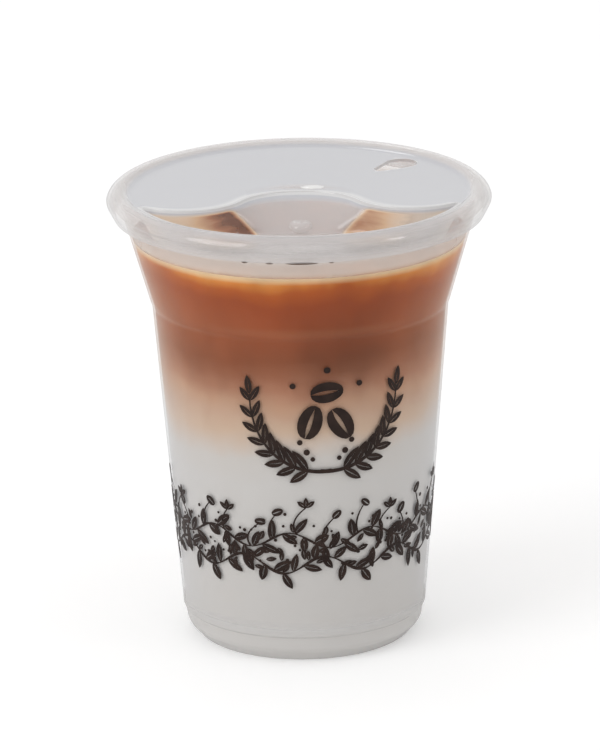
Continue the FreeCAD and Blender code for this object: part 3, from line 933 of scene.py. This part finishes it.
def bean(bm, x, y, angle, length):
    """A coffee bean as two halves with a wavy gap between them."""
    turn, middle = Matrix.Rotation(angle, 2), Vector((x, y))
    for side in (-1, 1):
        corners = [(-length / 2, side * 0.02), (-length * 0.3, side * length * 0.30),
                   (length * 0.3, side * length * 0.22), (length / 2, side * 0.02)]
        path = bezier(*(middle + turn @ Vector(c) for c in corners))
        stroke(bm, path, lambda t: 0.05 + length * 0.27 * math.sin(math.pi * t)**0.55, 10)


def dot(bm, x, y, radius):
    """A round berry."""
    place = Matrix.Translation((x, y, 0))
    bmesh.ops.create_circle(bm, cap_ends=True, segments=14, radius=radius, matrix=place)


def wrapped(bm, shift, reference):
    """Gives a flat drawing its thickness and lays it round the cup's wall, shift millimetres right of the
    front at the reference height."""
    bmesh.ops.recalc_face_normals(bm, faces=bm.faces)
    for face in bm.faces:
        if face.normal.z < 0:
            face.normal_flip()
    solid = bmesh.ops.extrude_face_region(bm, geom=bm.faces[:])
    top = [g for g in solid["geom"] if isinstance(g, bmesh.types.BMVert)]
    bmesh.ops.translate(bm, vec=(0, 0, PRINT_THICK), verts=top)
    bmesh.ops.recalc_face_normals(bm, faces=bm.faces)
    for vert in bm.verts:
        u, v, w = vert.co
        # A little of the thickness sinks into the wall.
        radius = wall_radius(v) + w - PRINT_THICK * 0.3
        angle = (u + shift) / wall_radius(reference) - math.pi / 2
        vert.co = (radius * math.cos(angle), radius * math.sin(angle), v)
    return bm


# ---------------------------------------------------------------- the border

REPEATS = 10
PERIOD = TAU * wall_radius(BORDER_MIDDLE) / REPEATS


def wave(level, swing, phase):
    """A wavy line round the wall, as its height at a way along."""
    return lambda u: level + swing * math.sin(TAU * (u / PERIOD + phase))


LOWER_VINE, UPPER_VINE = wave(28.5, 2.4, 0.0), wave(35.5, 2.2, 0.42)


def draw_vine(bm, rng, line, thick):
    """A stem that swells and thins, with leaves to both sides."""
    for k in range(REPEATS):
        def stem(t):
            """One length of it, which runs a little into the next."""
            u = (k + t * 1.004) * PERIOD
            return Vector((u, line(u)))
        stroke(bm, stem, lambda t: thick * (0.8 + 0.3 * math.sin(TAU * 2 * t)), 28)
    for k in range(REPEATS * 8):
        u = (k + rng.uniform(-0.15, 0.15)) * PERIOD / 8
        slope = (line(u + 0.2) - line(u - 0.2)) / 0.4
        side = 1 if k % 2 else -1
        angle = math.atan(slope) + side * rng.uniform(0.7, 1.1)
        leaf(bm, u, line(u), angle, rng.uniform(4.2, 5.6), rng.uniform(2.0, 2.6), side * 0.35)


def draw_shoots(bm, rng):
    """Shoots off the upper vine, each with a bean or three leaves at its tip and a berry beside it."""
    for k in range(REPEATS * 3):
        u = (k + rng.uniform(-0.25, 0.25)) * PERIOD / 3
        foot = UPPER_VINE(u)
        rise = rng.uniform(5.5, 8.5)
        curl = rng.choice((-1, 1)) * rng.uniform(1.2, 2.4)
        tip = Vector((u + curl, foot + rise))
        path = bezier((u, foot), (u - curl, foot + rise * 0.4), (u + curl * 0.2, foot + rise * 0.8), tip)
        stroke(bm, path, lambda t: 0.55 - 0.25 * t)
        if k % 3:
            bean(bm, tip.x + 0.6, tip.y + 0.8, rng.uniform(0, math.pi), rng.uniform(2.8, 3.4))
        else:
            for turn in (-0.9, 0.0, 0.9):
                leaf(bm, tip.x, tip.y, math.pi / 2 + turn, 2.8, 1.3)
        dot(bm, u - curl * 1.3, foot + rise * 0.75, rng.uniform(0.35, 0.55))


def scatter_leaves(bm, rng):
    """Small loose leaves and berries between the vines."""
    for k in range(REPEATS * 15):
        u = (k + rng.uniform(-0.3, 0.3)) * PERIOD / 15
        level, turn = rng.uniform(27.0, 38.5), rng.uniform(0, TAU)
        leaf(bm, u, level, turn, rng.uniform(2.4, 3.4), rng.uniform(1.2, 1.6))
        dot(bm, u + 1.6, rng.uniform(28.0, 40.0), rng.uniform(0.3, 0.5))


def make_border(material):
    """Vines with leaves, beans and berries, right round the lower wall."""
    rng = random.Random(7)
    bm = bmesh.new()
    draw_vine(bm, rng, LOWER_VINE, 0.75)
    draw_vine(bm, rng, UPPER_VINE, 0.6)
    draw_shoots(bm, rng)
    scatter_leaves(bm, rng)
    piece("vine_border", wrapped(bm, 0, BORDER_MIDDLE), material, smooth=False)


# ---------------------------------------------------------------- the emblem

def draw_sprig(bm, side):
    """A coffee sprig that curves up one side, with leaves in pairs and berries at its foot."""
    stem = bezier((side * -1.5, 55.2), (side * 9, 54.0), (side * 20.5, 60.5), (side * 20.0, 76.5))
    stroke(bm, stem, lambda t: 1.15 - 0.75 * t, 28)
    for k in range(8):
        t = 0.2 + 0.76 * k / 7
        here, ahead = stem(t), stem(min(t + 0.02, 1)) - stem(t - 0.02)
        heading = math.atan2(ahead.y, ahead.x)
        size = 7.6 - 2.6 * t
        for out in (-1, 1):
            turn = heading + out * (0.72 - 0.25 * t)
            leaf(bm, here.x, here.y, turn, size * (1 if out == side else 0.85), size * 0.34, out * 0.35)
    leaf(bm, *stem(1.0), math.pi / 2 - side * 0.1, 5.2, 1.9)
    for k, (x, y) in enumerate(((5.2, 60.6), (7.0, 63.4), (3.6, 58.6))):
        dot(bm, side * x, y, 0.85 - 0.1 * k)


def make_emblem(material):
    """Two mirrored sprigs round a group of beans, a little right of the front."""
    bm = bmesh.new()
    for side in (-1, 1):
        draw_sprig(bm, side)
    for x, y, degrees, length in ((-4.2, 69.0, 72, 9.6), (4.0, 68.2, -58, 9.6), (0.2, 77.2, 8, 8.6)):
        bean(bm, x, y, math.radians(degrees), length)
    for x, y, radius in ((-8.6, 79.2, 0.8), (8.8, 79.0, 0.8), (0.2, 83.4, 0.9)):
        dot(bm, x, y, radius)
    piece("sprig_emblem", wrapped(bm, EMBLEM_ASIDE, EMBLEM_MIDDLE), material, smooth=False)


# ---------------------------------------------------------------- the studio

def make_floor():
    """A pale matt floor, lifted to white where the camera looks at it, that keeps the shadow."""
    material, nodes, links = tree("studio_floor")
    out = nodes.new("ShaderNodeOutputMaterial")
    matt = new(nodes, "ShaderNodeBsdfPrincipled", Base_Color=grey(0.88), Roughness=0.9,
               Specular_IOR_Level=0.1, Emission_Color=grey(1))
    looking = nodes.new("ShaderNodeLightPath").outputs["Is Camera Ray"]
    links.new(maths(nodes, links, "MULTIPLY", looking, 0.24), matt.inputs["Emission Strength"])
    links.new(matt.outputs[0], out.inputs["Surface"])
    bm = bmesh.new()
    bmesh.ops.create_grid(bm, x_segments=1, y_segments=1, size=4)
    placed("studio_floor", bm, material)


def make_world():
    """White all round, with a plain level of light for the object."""
    world = bpy.data.worlds.new("studio")
    bpy.context.scene.world = world
    world.use_nodes = True
    nodes, links = world.node_tree.nodes, world.node_tree.links
    nodes.clear()
    out = nodes.new("ShaderNodeOutputWorld")
    light = new(nodes, "ShaderNodeBackground", Color=grey(1), Strength=0.8)
    seen = new(nodes, "ShaderNodeBackground", Color=grey(1), Strength=1.0)
    blend = nodes.new("ShaderNodeMixShader")
    path = nodes.new("ShaderNodeLightPath").outputs
    direct = maths(nodes, links, "ADD", path["Is Camera Ray"], path["Is Transmission Ray"])
    links.new(maths(nodes, links, "ADD", direct, path["Is Glossy Ray"]), blend.inputs["Fac"])
    links.new(light.outputs[0], blend.inputs[1])
    links.new(seen.outputs[0], blend.inputs[2])
    links.new(blend.outputs[0], out.inputs["Surface"])


def make_lamp(name, place, aim, size, power):
    """A round lamp that looks at a point."""
    lamp = bpy.data.lights.new(name, "AREA")
    lamp.shape = "DISK"
    lamp.size = size
    lamp.energy = power
    obj = bpy.data.objects.new(name, lamp)
    obj.location = place
    obj.rotation_euler = (Vector(aim) - Vector(place)).to_track_quat("-Z", "Y").to_euler()
    bpy.context.scene.collection.objects.link(obj)


def make_camera():
    """Looks down at the cup's middle by about eighteen degrees, leaning very slightly."""
    place, aim = Vector((0, -1.5, 0.546)), Vector((-0.00039, 0, 0.07016))
    ahead = (aim - place).normalized()
    right = ahead.cross(Vector((0, 0, 1))).normalized()
    up = right.cross(ahead)
    lean = math.radians(-0.821)
    right, up = right * math.cos(lean) + up * math.sin(lean), up * math.cos(lean) - right * math.sin(lean)
    camera = bpy.data.cameras.new("camera")
    camera.sensor_width = 36
    camera.lens = 283.94
    obj = bpy.data.objects.new("camera", camera)
    obj.matrix_world = Matrix.Translation(place) @ Matrix((right, up, -ahead)).transposed().to_4x4()
    bpy.context.scene.collection.objects.link(obj)
    bpy.context.scene.camera = obj


# ---------------------------------------------------------------- putting it together

cup_plastic = plastic("cup_plastic", cup_tint, cup_veil, 0.6, 0.3, 0.16)
lid_plastic = plastic("lid_plastic", lid_tint_with_painted_light, lid_veil, 0.65, 0.75, 0.1)
ink = covered("print_ink", ink_tint, (0.3, 0.5), INK_IOR, 0.2)

make_cup(cup_plastic)
make_drink(covered("layered_drink", drink_tint, 0.3, DRINK_IOR, 0.15))
make_bubbles(plastic("bubble_film", colour(220, 200, 178), bubble_veil, 0.8, 1.0, 0.08))
make_lid(lid_plastic)
make_glint_mark(plastic("glint_plastic", colour(240, 239, 238), glint_veil, 0.9, 1.0, 0.05))
make_shadow_drops(covered("skirt_shadow_drop", shadow_drop_tint, 0.12, DRINK_IOR))
make_nub(plastic("nub_plastic", colour(216, 212, 210), nub_veil, 0.8, 1.0, 0.06))
make_border(ink)
make_emblem(ink)

make_floor()
make_world()
make_lamp("key", (-1.0, -0.7, 0.9), (0, 0, 0.06), 0.9, 5.2)
make_lamp("fill", (1.2, -0.6, 0.9), (0, 0, 0.06), 0.3, 0.8)
make_lamp("rim", (-0.2, 1.2, 1.2), (0, 0, 0.11), 0.2, 0.3)
make_camera()

bpy.context.scene.view_settings.view_transform = "Standard"
